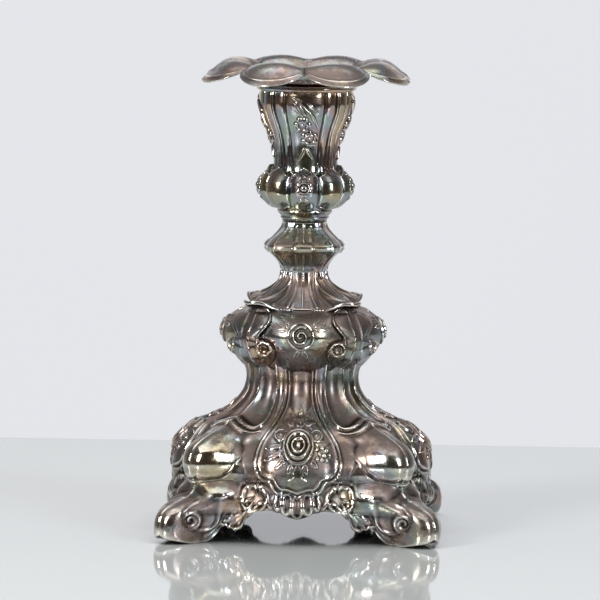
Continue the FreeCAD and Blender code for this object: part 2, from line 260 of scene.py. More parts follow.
BLUR_STEPS = (2, 8)
EDGE_LENGTH = 0.4          # of a mesh that needs no correction, in millimetres


def weather(mesh):
    """Stores how far each point stands out of, or lies in, the surface around it: 'worn' is 1 on
    rubbed ridges and 'deep' is 1 in creases, where tarnish stays."""
    count = len(mesh.vertices)
    points = read(mesh.vertices, "co", 3, np.float32).astype(float) / MM
    normals = read(mesh.vertices, "normal", 3, np.float32)
    edges = read(mesh.edges, "vertices", 2, np.int32)
    near, far = edges.T
    links = np.maximum(np.bincount(edges.ravel(), minlength=count), 1)[:, None]
    blurred = points
    levels = []
    for step in range(1, max(BLUR_STEPS) + 1):
        total = np.stack([np.bincount(near, value[far], count) + np.bincount(far, value[near],
            count) for value in blurred.T], 1)
        blurred = 0.5 * blurred + 0.5 * total / links
        if step in BLUR_STEPS:
            levels.append(((points - blurred) * normals).sum(1))
    length = np.linalg.norm(points[near] - points[far], axis=1).mean()
    stand = (levels[0] * 5 + levels[1] * 3) * max(1.0, EDGE_LENGTH / length) ** 1.4
    for name, sign in (("worn", 1), ("deep", -1)):
        values = np.clip(sign * stand, 0, 1).astype(np.float32)
        mesh.attributes.new(name, "FLOAT", "POINT").data.foreach_set("value", values)


def sheet(name, outer, inner, wrap):
    """A closed piece between an outer and an inner grid of the same columns."""
    rows, columns = outer.shape[:2]
    inner_rows = inner.shape[0]
    first = rows * columns
    faces = [grid_faces(rows, columns, wrap), grid_faces(inner_rows, columns, wrap, first)[:, ::-1]]
    out = np.arange(first).reshape(rows, columns)
    back = first + np.arange(inner_rows * columns).reshape(inner_rows, columns)
    rims = [(out[0], back[0], wrap, True), (out[-1], back[-1], wrap, False)]
    if not wrap:
        rims += [(out[:, 0], back[:, 0], False, False), (out[:, -1], back[:, -1], False, True)]
    for edge, behind, closed, flip in rims:
        if closed:
            edge, behind = np.append(edge, edge[0]), np.append(behind, behind[0])
        rim = np.stack([edge[:-1], behind[:-1], behind[1:], edge[1:]], 1)
        faces.append(rim if flip else rim[:, ::-1])
    points = np.concatenate([outer.reshape(-1, 3), inner.reshape(-1, 3)])
    return mesh_object(name, points, np.concatenate(faces))


def joined(name, parts):
    """One object from several (grid, faces) parts."""
    points, faces, first = [], [], 0
    for grid, quads in parts:
        points.append(grid.reshape(-1, 3))
        faces.append(quads + first)
        first += len(points[-1])
    return mesh_object(name, np.concatenate(points), np.concatenate(faces))


def turn_to(grid, quarter):
    """Points turned about the axis from the front face to another face."""
    angle = math.radians(90 * quarter)
    spin = np.array([[math.cos(angle), -math.sin(angle), 0], [math.sin(angle), math.cos(angle), 0],
        [0, 0, 1]])
    return grid @ spin.T


def settle(piece, material, *nodes, slot="silver_plate", body="candlestick"):
    """Finishes a piece: its material, the nodes it replaces and the body it rides on; slot is not used."""
    piece.data.materials.append(material)
    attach(piece, body)
    if nodes:
        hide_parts(*nodes)


def turned_piece(name, outer, inner, quarter, material, *nodes):
    """A finished piece of a face, turned from the front to its own side."""
    piece = sheet(name, turn_to(outer, quarter), turn_to(inner, quarter), False)
    settle(piece, material, *nodes)
    return piece


# ---------------------------------------------------------------- materials

class Look:
    """A material or a world, and short ways to add to its node tree."""

    def __init__(self, owner, shader="Principled BSDF"):
        owner.use_nodes = True
        self.owner = owner
        self.tree = owner.node_tree
        self.shader = self.tree.nodes[shader]
        self.coordinates = self.node("TexCoord").outputs

    def feed(self, socket, value):
        """Gives an input a number, a colour or another node's output."""
        if isinstance(value, bpy.types.NodeSocket):
            self.tree.links.new(value, socket)
        else:
            socket.default_value = (*value, 1.0) if isinstance(value, tuple) else value

    def node(self, kind, **inputs):
        node = self.tree.nodes.new("ShaderNode" + kind)
        for name, value in inputs.items():
            self.feed(node.inputs[name], value)
        return node

    def set(self, **inputs):
        for name, value in inputs.items():
            self.feed(self.shader.inputs[name.replace("_", " ")], value)

    def attribute(self, name):
        node = self.node("Attribute")
        node.attribute_name = name
        return node.outputs["Fac"]

    def noise(self, scale, detail, roughness):
        place = self.coordinates["Object"]
        return self.node("TexNoise", Vector=place, Scale=scale, Detail=detail,
            Roughness=roughness).outputs["Fac"]

    def ramp(self, source, *stops):
        node = self.node("ValToRGB", Fac=source)
        elements = node.color_ramp.elements
        while len(elements) < len(stops):
            elements.new(0.5)
        for element, (place, colour) in zip(elements, stops):
            element.position = place
            element.color = (*colour, 1.0)
        return node.outputs["Color"]

    def greys(self, source, low, dark, high, light):
        return self.ramp(source, (low, (dark,) * 3), (high, (light,) * 3))

    def maths(self, kind, first, second):
        node = self.node("Math")
        node.operation = kind
        self.feed(node.inputs[0], first)
        self.feed(node.inputs[1], second)
        return node.outputs[0]

    def plus(self, first, second):
        return self.maths("ADD", first, second)

    def times(self, first, second):
        return self.maths("MULTIPLY", first, second)

    def mix(self, share, first, second):
        node = self.node("Mix")
        node.data_type = "RGBA"
        self.feed(node.inputs["Factor"], share)
        self.feed(node.inputs[6], first)
        self.feed(node.inputs[7], second)
        return node.outputs[2]

    def bump(self, height, strength, distance):
        node = self.node("Bump", Height=height, Strength=strength, Distance=distance)
        self.set(Normal=node.outputs["Normal"])


def new_look(name):
    return Look(bpy.data.materials.new(name))


def silver(name, tarnish):
    """Old silver plate: bright where rubbed, mauve-grey film on the flats, brown-black in creases,
    with faint rainbow patches. tarnish sets how much film there is."""
    look = new_look(name)
    worn, deep = look.attribute("worn"), look.attribute("deep")
    cloud = look.greys(look.noise(48, 6, 0.62), 0.34, 0, 0.60, 1)
    speck = look.greys(look.noise(420, 3, 0.7), 0.40, 0, 0.72, 1)
    film = look.plus(look.times(cloud, tarnish), look.times(speck, tarnish * 0.5))
    # Dust and film settle on what faces up
    facing = look.node("SeparateXYZ", Vector=look.coordinates["Normal"])
    settled = look.greys(facing.outputs["Z"], 0.10, 0, 0.62, 0.8)
    patchy = look.greys(look.noise(75, 5, 0.7), 0.40, 0.1, 0.58, 1)
    film = look.plus(film, look.times(settled, patchy))
    film = look.maths("SUBTRACT", film, look.times(worn, 0.8))
    film = look.maths("MAXIMUM", film, 0.0)
    crease = look.times(deep, 1.2)
    hue = look.ramp(look.noise(34, 3, 0.55), (0.30, (0.68, 0.58, 0.42)), (0.40, (0.74, 0.49, 0.28)),
        (0.46, (0.56, 0.41, 0.44)), (0.51, (0.32, 0.42, 0.56)), (0.57, (0.33, 0.5, 0.44)),
        (0.66, (0.7, 0.58, 0.32)))
    polished = look.mix(worn, (0.55, 0.51, 0.45), (0.95, 0.91, 0.83))
    tinted = look.mix(look.times(look.maths("SUBTRACT", 1.0, worn), 0.7), polished, hue)
    filmed = look.mix(look.times(film, 0.8), tinted, (0.25, 0.2, 0.186))
    rough = look.plus(look.times(film, 0.27), look.times(crease, 0.2))
    look.set(Base_Color=look.mix(crease, filmed, (0.035, 0.027, 0.022)), Roughness=look.plus(rough, 0.085),
        Metallic=1.0)
    look.bump(look.noise(900, 4, 0.6), 0.12, 0.0002)
    return look.owner


def plain_metal(name, dark, light, roughness):
    """Unplated metal inside the candlestick: cloudy colour, fine turning marks and dull spots."""
    look = new_look(name)
    cloud = look.ramp(look.noise(60, 4, 0.6), (0.3, dark), (0.7, light))
    spots = look.greys(look.noise(260, 3, 0.6), 0.35, roughness - 0.08, 0.7, roughness + 0.14)
    look.set(Base_Color=cloud, Roughness=spots, Metallic=1.0)
    look.bump(look.noise(900, 2, 0.5), 0.25, 0.0001)
    return look.owner


def felt(name):
    """Dark green baize with a short matted nap."""
    look = new_look(name)
    nap = look.noise(1400, 5, 0.7)
    rubbed = look.greys(look.noise(45, 3, 0.6), 0.45, 0, 0.75, 0.5)
    fibre = look.ramp(nap, (0.3, (0.002, 0.016, 0.011)), (0.7, (0.008, 0.052, 0.036)))
    faded = look.ramp(nap, (0.3, (0.012, 0.04, 0.03)), (0.7, (0.03, 0.075, 0.055)))
    look.set(Base_Color=look.mix(rubbed, fibre, faded), Roughness=0.95, Specular_IOR_Level=0.1)
    look.bump(nap, 0.6, 0.0003)
    return look.owner


def plaster(name):
    look = new_look(name)
    colour = look.ramp(look.noise(120, 5, 0.6), (0.3, (0.3, 0.27, 0.22)), (0.7, (0.46, 0.43, 0.37)))
    look.set(Base_Color=colour, Roughness=0.9)
    return look.owner


# ---------------------------------------------------------------- base: one piece per face

BASE_TOP = 88.0
BASE_REACH = 70.4          # half the width of the base
BASE_COLUMNS = 250
BASE_ROWS = 184
# Height, distance of the ground from the axis at the middle of a face, and at a corner
BASE_GROUND = [(0, 59.4, 63.4), (2.6, 60.2, 65.4), (4.8, 60.5, 66.2), (7, 60.8, 66.4), (10, 61.2, 66.2),
    (13.6, 62, 65.2), (15.6, 63, 63.6), (17.4, 63.6, 61.2), (20.4, 63.8, 56.6), (24, 63.2, 52.2),
    (28, 62.2, 50.4), (31, 61.4, 50.4), (34, 60.8, 51), (37, 60, 51), (41, 58.6, 49.8), (45.4, 56, 46.8),
    (49.6, 52.4, 42.6), (52.6, 48.6, 38.2), (55.7, 44, 34), (59, 39, 29.2), (62.6, 34, 25.6),
    (67, 29.8, 22.6), (72, 27.4, 21), (77, 26.6, 20.5), (80, 26.9, 20.4), (84, 28.2, 20.6), (88, 29, 20.8)]
# Lower outline of a face: how far along it, as a share of the way to the corner, and the height
BASE_OUTLINE = [(0, 13.2), (0.05, 13.8), (0.09, 15.6), (0.125, 16.4), (0.16, 16.4), (0.2, 17), (0.25, 16.8),
    (0.29, 16.6), (0.325, 15.9), (0.35, 14.8), (0.365, 13), (0.385, 12.3), (0.4, 8.2), (0.425, 6.6),
    (0.46, 6.3), (0.49, 7.6), (0.51, 7.2), (0.535, 8.6), (0.56, 7.6), (0.6, 4), (0.65, 1.6), (0.7, 0.3),
    (0.76, 0), (0.81, 0.3), (0.88, 1.4), (0.94, 2.8), (1, 4.8)]
# The C-scroll beside the waist: height, and its distance across from the middle of the face
SCROLL_LINE = [(54.6, 23), (54.9, 21.4), (56.4, 18.4), (59.2, 16), (63, 14.1), (66, 13), (74, 11.7),
    (80, 11.9), (88, 12.6)]
# The underside of its loop: distance across, and height
LOOP_LINE = [(18, 54.4), (21.5, 54.9), (24.8, 55.2), (27.5, 56), (30.5, 57.6), (33, 59.4)]


def base_plan(share, up):
    face = through(BASE_GROUND, up)
    corner = through(BASE_GROUND, up, 0, 2)
    power = np.interp(up, [5, 30, 45, 60, 77], [5, 4.6, 3.4, 2.5, 2.2])
    dip = np.interp(up, [0, 14, 22, 31, 37, 45, 58], [6.4, 6, 4.8, 3, 2, 1.2, 0])
    curved = face + (corner - face) * share ** power - dip * np.exp(-((share - 0.54) / 0.22) ** 2)
    # Behind the lobes the face steps back almost to the corner's distance
    level = corner - 0.6
    stepped = level + (face - level) * (1 - ease(share, 0.24, 0.68)) + 0.6 * ease(share, 0.7, 1.0)
    stepping = ease(up, 22, 30) * ease(-up, -56, -46)
    return curved + (stepped - curved) * stepping, corner


def base_ground(share, up):
    """Distance of the ground from the axis, and the corner's distance, at a share of the way from
    the middle of a face to its corner and at a height. The corner is rounded in plan."""
    distance, corner = base_plan(share, up)
    slope = (corner - base_plan(0 * up + 0.998, up)[0]) / 0.002
    bulge = np.maximum(corner + slope, 0) / 14 * (share ** 6 - share ** 20)
    return distance + bulge * ease(-up, -60, -52), corner


def cartouche(relief):
    """The pear-shaped cartouche, its border and the fillet above it."""
    relief.dome((0, 41.5), (20.8, 18.5), 3.3, sharp=0.8)
    relief.dome((0, 36), (17.5, 11), 1.6, sharp=0.7)
    border = curve([(8.2, 88), (7.4, 81), (7.2, 75), (7.6, 69), (9.4, 62.5), (13.6, 55.6), (18.6, 48),
        (21, 40.5), (20, 34.6), (17, 31.6), (13.4, 30.6), (12, 27.6), (9.4, 25.4), (5.4, 25), (2.2, 24.4),
        (0, 23)])
    relief.crisp(border, 0.72, 1.0)
    inner = curve([(6.4, 88), (5.8, 81), (5.6, 74), (5.8, 68.5), (7.4, 62.6), (11.6, 55.4), (16.6, 47.6),
        (18.9, 40.5), (17.9, 35.6), (15.2, 33.4), (11.8, 32.2), (10.2, 29.4), (8, 27.5), (4.6, 27),
        (0, 25.4)])
    relief.crisp(inner, 0.62, 0.85)
    relief.groove(curve([(7.3, 88), (6.6, 81), (6.4, 75), (6.7, 69), (8.4, 62.5), (12.6, 55.6), (17.6, 48),
        (19.9, 40.5), (19, 35), (16.2, 32.4), (12.6, 31.4), (11.1, 28.5), (8.7, 26.4), (5, 26), (0, 24.2)]),
        0.6, 0.35)
    relief.stroke([(0, 88), (0, 77), (0, 65.6)], 4.3, 1.5, taper=(1, 0.92, 1.1), sharp=0.7)
    relief.groove([(5, 88), (4.6, 79), (4.5, 72), (5, 65.4)], 0.55, 0.6)
    relief.stroke(curve([(10.4, 88), (9.5, 81), (9.3, 74), (9.9, 68), (12, 61)]), 1.9, 0.9, taper=(1, 1, 0.3))


def waist_scroll(relief, corner):
    """The C-scroll beside the cartouche, and the scoop between it and the corner ridge."""
    up, across = relief.up, relief.across
    scroll_at = through(SCROLL_LINE, up)
    t = (across - scroll_at) / np.maximum(corner - 0.3 - scroll_at, 1)
    floor = up - np.interp(across, *zip(*LOOP_LINE))
    depth = np.interp(up, [55, 60, 66, 88], [2.2, 3, 2.9, 2.4]) * ease(floor, -0.1, 2.6) ** 0.7
    inside = (t > 0) & (t < 1)
    relief.cut = np.maximum(relief.cut, np.where(inside, depth * np.sin(np.pi * np.clip(t, 0, 1)) ** 0.7, 0))
    line = curve([(12.6, 88), (11.9, 80), (11.7, 74), (13, 66), (14.1, 63), (16, 59.2), (18.4, 56.4),
        (21.4, 54.9), (24.8, 55), (27.6, 55.9), (30.4, 57.4)])
    relief.stroke(line, 0.72, 1.5, taper=(0.8, 1, 1.1), sharp=0.7)
    roll = curve([(19, 53.8), (23, 52.7), (27.6, 52.9), (31.4, 54.4), (35, 56.6)])
    relief.stroke(roll, 1.15, 1.3, taper=(0.3, 0.9, 1.2), sharp=0.7)
    relief.groove(curve([(20, 54.4), (24, 53.9), (28, 54.5), (31.4, 55.9)]), 0.6, 0.9)


def corner_lobes(relief, share):
    """The egg-shaped lobe over a corner, the lip under it, and the crescent below the lip."""
    up, across = relief.up, relief.across
    lip = curve([(26.6, 44.6), (27.6, 42), (29.8, 39), (33.4, 35.2), (38, 32.4), (43, 30.6), (48, 29.6),
        (52.6, 28.9)])
    lip_at = np.interp(across, lip[:, 0], lip[:, 1])
    above = ease(up - lip_at, -0.7, 0.7)
    turn = math.radians(-24)
    x, z = across - 44.0, up - 40.0
    a = x * math.cos(turn) + z * math.sin(turn)
    b = z * math.cos(turn) - x * math.sin(turn)
    a = np.where(a > 0, a / 13.5, a / 17.0)
    soft = np.exp(-1.3 * a ** 2 - (b / 9.0) ** 2)
    firm = np.clip(1 - a ** 2 - (b / 11.6) ** 2, 0, 1) ** 0.66
    upper = ease(b, -3.0, 6.0)
    relief.body += 4.8 * (soft * upper + firm * (1 - upper)) * above
    band = np.array([(27, 61), (34, 55), (42, 49), (47, 44)])
    near, gap, _ = relief.reach(band, 13.0)
    relief.body[near] += 1.5 * np.exp(-(gap / 6.5) ** 2)
    relief.crisp(lip, 0.6, 0.9, (0.4, 1, 1))
    relief.stroke(curve([(52.6, 28.9), (53.6, 26.4), (54.2, 23.6)]), 0.7, 0.8, taper=(1, 0.8, 0.4))
    crescent = np.clip(1 - ((across - 39.6) / 13.6) ** 2 - ((up - 32.6) / 10.6) ** 2, 0, 1) ** 0.62
    relief.body += 3.4 * crescent * (1 - above)
    corner_edge = np.exp(-((1 - share) / 0.035) ** 2) * ease(up, 58, 66)
    relief.crest(0.8 * corner_edge)


def bouquet(relief):
    """Rose, small flowers, leaves, berries and a ribbon, in low relief on the cartouche."""
    relief.dome((0, 46), (8.3, 8.3), 1.3, sharp=0.3)
    relief.crisp(spiral((0, 46), 7.3, 7.1, 200, 1.05), 0.75, 0.8)
    relief.crisp(spiral((0, 46), 5.3, 5.1, 80, 1.05), 0.85, 1.4)
    relief.dome((0, 46), (4.4, 4.4), 0.8, sharp=0.5, layer="cut")
    relief.crisp(spiral((0, 46), 3.1, 2.9, 20, 1.05), 0.7, 1.6)
    relief.bead((0.1, 46), 1.3, 2.2)
    for spot in ((-8.8, 51), (8.7, 50.8)):
        relief.dome(spot, (3.4, 2.8), 1.0, sharp=0.4, layer="line")
        relief.crisp(spiral(spot, 2.5, 2.4, 40, 1.0), 0.55, 1.3)
        relief.dome(spot, (1, 0.9), 1.5, sharp=0.5, layer="line")
    relief.flower((0.6, 56.8), 2.9, 1.1, 5)
    for root, tip in (((0.4, 58.8), (0.6, 64.8)), ((2.2, 58.2), (5.4, 62.4)), ((-1.4, 58.2), (-4.6, 62.4)),
            ((3.2, 55.6), (7.8, 57.6)), ((-2.4, 55.6), (-7.4, 57.6))):
        relief.leaf(root, tip, 1.3, 0.9, lobes=1)
    for root, tip in (((-8.2, 46.4), (-16, 46)), ((-8.2, 43.2), (-16.4, 40.6)), ((-6.4, 40.2), (-11.4, 36.2)),
            ((-3, 38.6), (-4.8, 34.2)), ((3, 38.6), (4.8, 34.2)), ((6.4, 40.2), (10, 37)),
            ((8.2, 47.8), (15.4, 48.4))):
        relief.leaf(root, tip, 1.9, 0.95, lobes=2)
    for spot in ((9.4, 45.4), (11.6, 46.2), (13.6, 45.2), (10.6, 43.4), (12.8, 43), (14.8, 43), (9.6, 41.2),
            (11.8, 41), (13.6, 40.8)):
        relief.bead(spot, 1.1, 1.1)
    for side in (-1, 1):
        relief.stroke(curve([(side * 0.8, 37.6), (side * 2.2, 35.4), (side * 2.6, 32.6), (side * 5.4, 30.4)]),
            0.9, 0.7, taper=(0.5, 1, 0.5))


def apron_relief(relief):
    """The hanging shell, the volutes beside it and the acanthus next to a foot."""
    relief.body += 2.4 * np.exp(-(relief.across / 10.5) ** 2) * np.exp(-((relief.up - 18.5) / 4.5) ** 2)
    band = np.vstack([curve([(12.6, 18.4), (13.6, 19.4), (14.7, 21.6)]),
        spiral((21.2, 22.2), 6.4, 5.9, 184, -0.96)[1:], spiral((22.9, 20.4), 3.8, 1.5, 180, 0.75)])
    relief.crisp(band, 1.05, 1.5, (0.7, 1, 0.7))
    relief.dome((21.4, 22), (5.4, 5.2), 0.7, sharp=0.5, layer="cut")
    relief.stroke(curve([(12.4, 27.4), (14.6, 29.8), (19, 31), (25, 29.8), (28.6, 26.4), (29.8, 21.4)]),
        0.55, 0.6)
    for lean, foot, wide, top in ((0, 13.3, 2.25, 24.2), (5.3, 15.2, 1.9, 25.2), (9.6, 17.2, 1.35, 26.4)):
        outline = curve([(lean * 0.9 - wide * 0.86, top), (lean - wide, foot + 3.4),
            (lean - wide * 0.66, foot + 1.2), (lean, foot + 0.6), (lean + wide * 0.66, foot + 1.2),
            (lean + wide, foot + 3.4), (lean * 0.9 + wide * 0.86, top)], 6)
        relief.crisp(outline, 0.7, 1.2, (0.7, 1.15, 0.7))
        relief.groove([(lean * 0.93, top - 1.0), (lean, foot + 2.6)], wide * 0.6, 0.45)
    for tip, root, width in (((29.6, 6.4), (24.4, 16.6), 2.3), ((33.6, 7.4), (27.6, 15.4), 2.2),
            ((36.6, 9), (30.4, 14.4), 1.6), ((25.4, 12.4), (23, 16.4), 1.5)):
        relief.leaf(root, tip, width, 1.6, vein=0.5, lobes=2)
    relief.stroke(curve([(25.6, 12.6), (26.8, 9), (29.6, 7), (32.8, 7.4), (35.6, 8.2), (37.4, 9.6)]),
        0.85, 1.9, sharp=0.6)


def foot_relief(relief, corner):
    """A foot: its dome, the volute beside it, the web and the rolled rims."""
    tail = np.vstack([curve([(48.4, 20.6), (52, 18.8), (55.2, 15.6)]),
        spiral((52.2, 11.6), 4.9, 3.4, 22, -1.1), spiral((52.3, 11.5), 3.2, 0.9, -14, -1.1)])
    relief.crisp(tail, 0.95, 1.35, (0.5, 1, 0.7))
    relief.dome((52.3, 11.5), (3, 3), 0.5, sharp=0.7, layer="cut")
    across, up = relief.across, relief.up
    reach = curve([(42, 26), (45, 22.6), (48.4, 20.8), (52.2, 19), (55.4, 15.8), (56.6, 11.6), (55, 8),
        (51.6, 6.4), (46, 4.6), (42, 3.4)])
    edge = np.interp(up, reach[::-1, 1], reach[::-1, 0])
    beyond = ease(across - edge, -0.4, 1.6)
    out = np.clip(60.0 - across, 0, 99) / 14.0
    swell = np.clip(1 - out ** 2 - ((up - 8.5) / 15.6) ** 2, 0, 1) ** 0.5
    relief.body += 2.0 * swell * beyond
    rolled = curve([(51.6, 7.2), (48, 6.2), (44.4, 6.2), (41.4, 7.8), (39.4, 10.4), (38.2, 14.8),
        (37.8, 18.6), (37.7, 23)])
    relief.crisp(rolled, 0.8, 1.0, (0.9, 1, 0.6))
    relief.stroke(curve([(35.8, 23), (36, 18), (36.4, 13.6)]), 0.45, 0.6, taper=(0.5, 1, 0.4))
    relief.crisp(curve([(38.8, 8.8), (42, 4.9), (46, 2.4), (52, 0.9), (58, 0.8), (64, 1.8), (69.8, 3.4)]),
        0.9, 0.45, (0.5, 1, 0.9))


def base_relief(across, up, share, corner):
    relief = Relief(across, up)
    cartouche(relief)
    waist_scroll(relief, corner)
    corner_lobes(relief, share)
    apron_relief(relief)
    foot_relief(relief, corner)
    return relief.rise()


def base_surface(share, level):
    """Points on a base face, for shares of the way to its corners and levels from 0 to 1."""
    bottom = through(BASE_OUTLINE, np.abs(share))
    up = bottom + (BASE_TOP - bottom) * level ** 0.96
    distance, corner = base_ground(np.abs(share), up)
    across = share * corner
    grid = np.stack([across, -distance, up], 2)
    rise = base_relief(across, up, np.abs(share), corner)
    # A corner belongs to two faces, so its points move only along its diagonal
    normal = normals_of(grid, False)
    diagonal = np.stack([np.sign(share), -np.ones_like(up), 0 * up], 2) / math.sqrt(2)
    steep = normal[..., 2:3]
    corner_normal = np.concatenate([diagonal[..., :2] * np.sqrt(1 - steep ** 2), steep], 2)
    near_corner = ease(np.abs(share), 0.9, 1.0)[..., None]
    normal = normal * (1 - near_corner) + corner_normal * near_corner
    normal /= np.linalg.norm(normal, axis=2, keepdims=True)
    outer = grid + normal * rise[..., None]
    outer[..., 2] = np.maximum(outer[..., 2], 0.0)
    outer[..., :2] = np.clip(outer[..., :2], -BASE_REACH, BASE_REACH)
    return outer, normal, diagonal, across, up


PATCH_SINK = 0.14
PATCH_DEPTH = 0.7


def applique(name, ground, rise, material, quarter):
    """Fine relief on a surface: where it has no height it lies just under the surface."""
    normal = normals_of(ground, False)
    outer = ground + normal * (rise - PATCH_SINK * (1 - ease(rise, 0.0, 0.2)))[..., None]
    inner = ground - normal * PATCH_DEPTH
    turned_piece(name, outer, inner, quarter, material)


def four_patches(name, ground, relief, material):
    rise = relief.rise()
    for quarter, side in enumerate(FACES):
        applique(name + side, ground, rise, material, quarter)


def base_face(name, quarter, material):
    share, level = np.meshgrid(np.linspace(-1, 1, BASE_COLUMNS), np.linspace(0, 1, BASE_ROWS))
    outer, normal, diagonal, across, up = base_surface(share, level)
    wall = 1.1 + 2.0 * ease(np.abs(share), 0.52, 0.7) * ease(-up, -26, -18)
    inner = outer - normal * wall[..., None]
    inner[..., 2] = np.maximum(inner[..., 2], 0.0)
    for column in (0, -1):
        shift = diagonal[:, column, :2] * wall[:, column][:, None] * 1.3
        inner[:, column, :2] = outer[:, column, :2] - shift
    piece = turned_piece(name, outer, inner, quarter, material, "apron_" + FACES[quarter])
    share, level = np.meshgrid(np.linspace(-0.43, 0.43, 210), np.linspace(0.2, 0.68, 210))
    ground, _, _, across, up = base_surface(share, level)
    relief = Relief(across, up, alike=False)
    bouquet(relief)
    applique("bouquet_" + FACES[quarter], ground, relief.rise(), material, quarter)
    return piece


FILLING_LOW, FILLING_HIGH = 24.5, 74.0
FILLING_GAP = 5.0          # between the shell's ground and the weight
FILLING_BORE = 3.4


def filling_lump(material):
    """The weight cast inside the base, a little inside the shell all round."""
    share, level = np.meshgrid(np.linspace(-1, 1, 24)[:-1], np.linspace(0, 1, 16))
    up = FILLING_LOW + (FILLING_HIGH - FILLING_LOW) * level
    distance, corner = base_ground(np.abs(share), up)
    grid = np.stack([share * (corner - FILLING_GAP), -(distance - FILLING_GAP), up], 2)
    ring = np.concatenate([turn_to(grid, quarter) for quarter in range(4)], 1)
    ring += 0.35 * np.sin(1.9 * ring[..., [1, 2, 0]]) * np.sin(1.3 * ring[..., [2, 0, 1]])
    core = ring.copy()
    core[..., :2] *= (FILLING_BORE / np.hypot(ring[..., 0], ring[..., 1]))[..., None]
    settle(sheet("weight_lump", ring, core, True), material, "base_filling", slot="filling")


silver_base = silver("silver_base", 0.95)
base_pieces = [base_face("base_face_" + face, quarter, silver_base) for quarter, face in enumerate(FACES)]
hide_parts("base_shell", "foot_front_left", "foot_front_right")
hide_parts("foot_rear_left", "foot_rear_right")

filling_lump(plaster("weight_filling"))


# ---------------------------------------------------------------- pieces round the axis

def at_level(rows, level):
    """Four columns (face height, face radius, corner height, corner radius) at levels from 0 to 1
    along the rows' middle line, and the distance along it."""
    table = np.array(rows, float)
    middle = (table[:, :2] + table[:, 2:]) / 2
    path = np.concatenate([[0], np.cumsum(np.hypot(*np.diff(middle, axis=0).T))])
    place = level * path[-1]
    return [through(list(zip(path, column)), place) for column in table.T], place


def ring_surface(rows, sharpness, angle, level):
    """Points of a four-sided ring at given angles and levels."""
    (face_up, face, corner_up, corner), _ = at_level(rows, level)
    weight = np.abs(np.sin(2 * angle)) ** (2 * sharpness)
    up = face_up + (corner_up - face_up) * weight
    radius = face + (corner - face) * weight
    return round_points(radius, angle, up), radius, angle * np.ones_like(up), up


def ring_grid(rows, sharpness, columns, count):
    angle = np.linspace(0, 2 * np.pi, columns, endpoint=False)[None, :]
    return ring_surface(rows, sharpness, angle, np.linspace(0, 1, count)[:, None])


def window(spread, low, high, columns, rows):
    """Angles either side of a face's middle, in degrees, and levels, for a fine patch."""
    angle = np.radians(np.linspace(-spread, spread, columns))[None, :]
    return angle, np.linspace(low, high, rows)[:, None]


def round_points(radius, angle, up):
    return np.stack([radius * np.sin(angle), -radius * np.cos(angle), up], -1)


def fold(angle, pieces=4):
    """The angle from the middle of the nearest face."""
    width = 2 * np.pi / pieces
    return (angle + width / 2) % width - width / 2


def raised(name, grid, rise, wall, material, node, back_rows):
    outer = grid + normals_of(grid, True) * rise[..., None]
    picked = np.unique(np.linspace(0, len(grid) - 1, back_rows).astype(int))
    inner = (grid - normals_of(grid, True) * wall)[picked]
    settle(sheet(name, outer, inner, True), material, node)


SHOULDER_TABLE = [(79, 24, 79, 22), (81, 27, 81, 24), (83, 29.4, 83, 26), (86, 32, 86, 28.2),
    (89.5, 34.8, 89.5, 30.8), (92.8, 37.4, 92.8, 33.2), (96, 39.4, 96, 34.9), (99.8, 40.3, 99.8, 35.7),
    (103.5, 39.4, 103.9, 35.4), (107, 36.5, 108.6, 34), (109.6, 32, 112, 31.4), (110.8, 27.2, 114, 28),
    (111.1, 20.6, 114.6, 22)]
SHOULDER_SHARPNESS = 1.5


def shoulder_swell(radius, local, up):
    relief = Relief(radius * np.sin(local), up)
    relief.dome((0, 87.4), (8.4, 6.4), 0.7, sharp=0.7)
    return relief.rise()


def shoulder(material):
    grid, radius, angle, up = ring_grid(SHOULDER_TABLE, SHOULDER_SHARPNESS, 520, 150)
    raised("shoulder", grid, shoulder_swell(radius, fold(angle), up), 1.0, material, "shoulder_shell",
        back_rows=30)
    angle, level = window(24, 0.22, 0.8, 200, 200)
    grid, radius, angle, up = ring_surface(SHOULDER_TABLE, SHOULDER_SHARPNESS, angle, level)
    ground = grid + normals_of(grid, False) * shoulder_swell(radius, angle, up)[..., None]
    relief = Relief(radius * np.sin(angle), up, alike=False)
    # A rose coiled like a spring, with the same leaves on either side
    relief.dome((0, 100.6), (7.1, 7.1), 0.6, sharp=0.35)
    relief.crisp(spiral((0, 100.6), 6.2, 6.1, 100, 1.0), 0.65, 0.75)
    relief.crisp(spiral((0, 100.6), 4.5, 0.4, 60, 1.7, 110), 0.62, 1.3, (1, 0.9, 0.8))
    relief.across = np.abs(relief.across)
    for root, tip, width in (((7.2, 103.8), (13, 103.2), 1.2), ((6.8, 105.2), (12.6, 106.8), 1.2),
            ((6, 106.4), (9.6, 109), 1.0)):
        relief.leaf(root, tip, width * 1.2, 0.6, lobes=2)
    relief.leaf((0.8, 93.6), (3.6, 89.4), 1.3, 0.45, lobes=2)
    four_patches("rose_", ground, relief, material)


# A bracket's inner edge, as height and distance across; and its spine, as height and radius
BRACKET_EDGE = [(82.6, 21.6), (83.6, 18.4), (85.2, 15.4), (87.6, 13.5), (90, 12.9), (92.4, 12.9),
    (94.6, 13.8), (96.6, 15.6), (98.2, 19), (99.4, 20.8), (101.2, 19.8), (103.6, 17.9), (106.2, 15.9),
    (108.8, 14.6), (111.4, 14.8), (113.4, 16.2), (114.8, 18.4), (116, 22)]
BRACKET_SPINE = [(82.2, 28), (84.4, 31.4), (87, 35.6), (90, 38.2), (93.6, 39.8), (98, 40.6), (101, 39.9),
    (107.5, 36.6), (111, 34.6), (113.4, 32.6), (116, 27)]
BRACKET_START = 11.6       # distance across where a bracket's grid begins


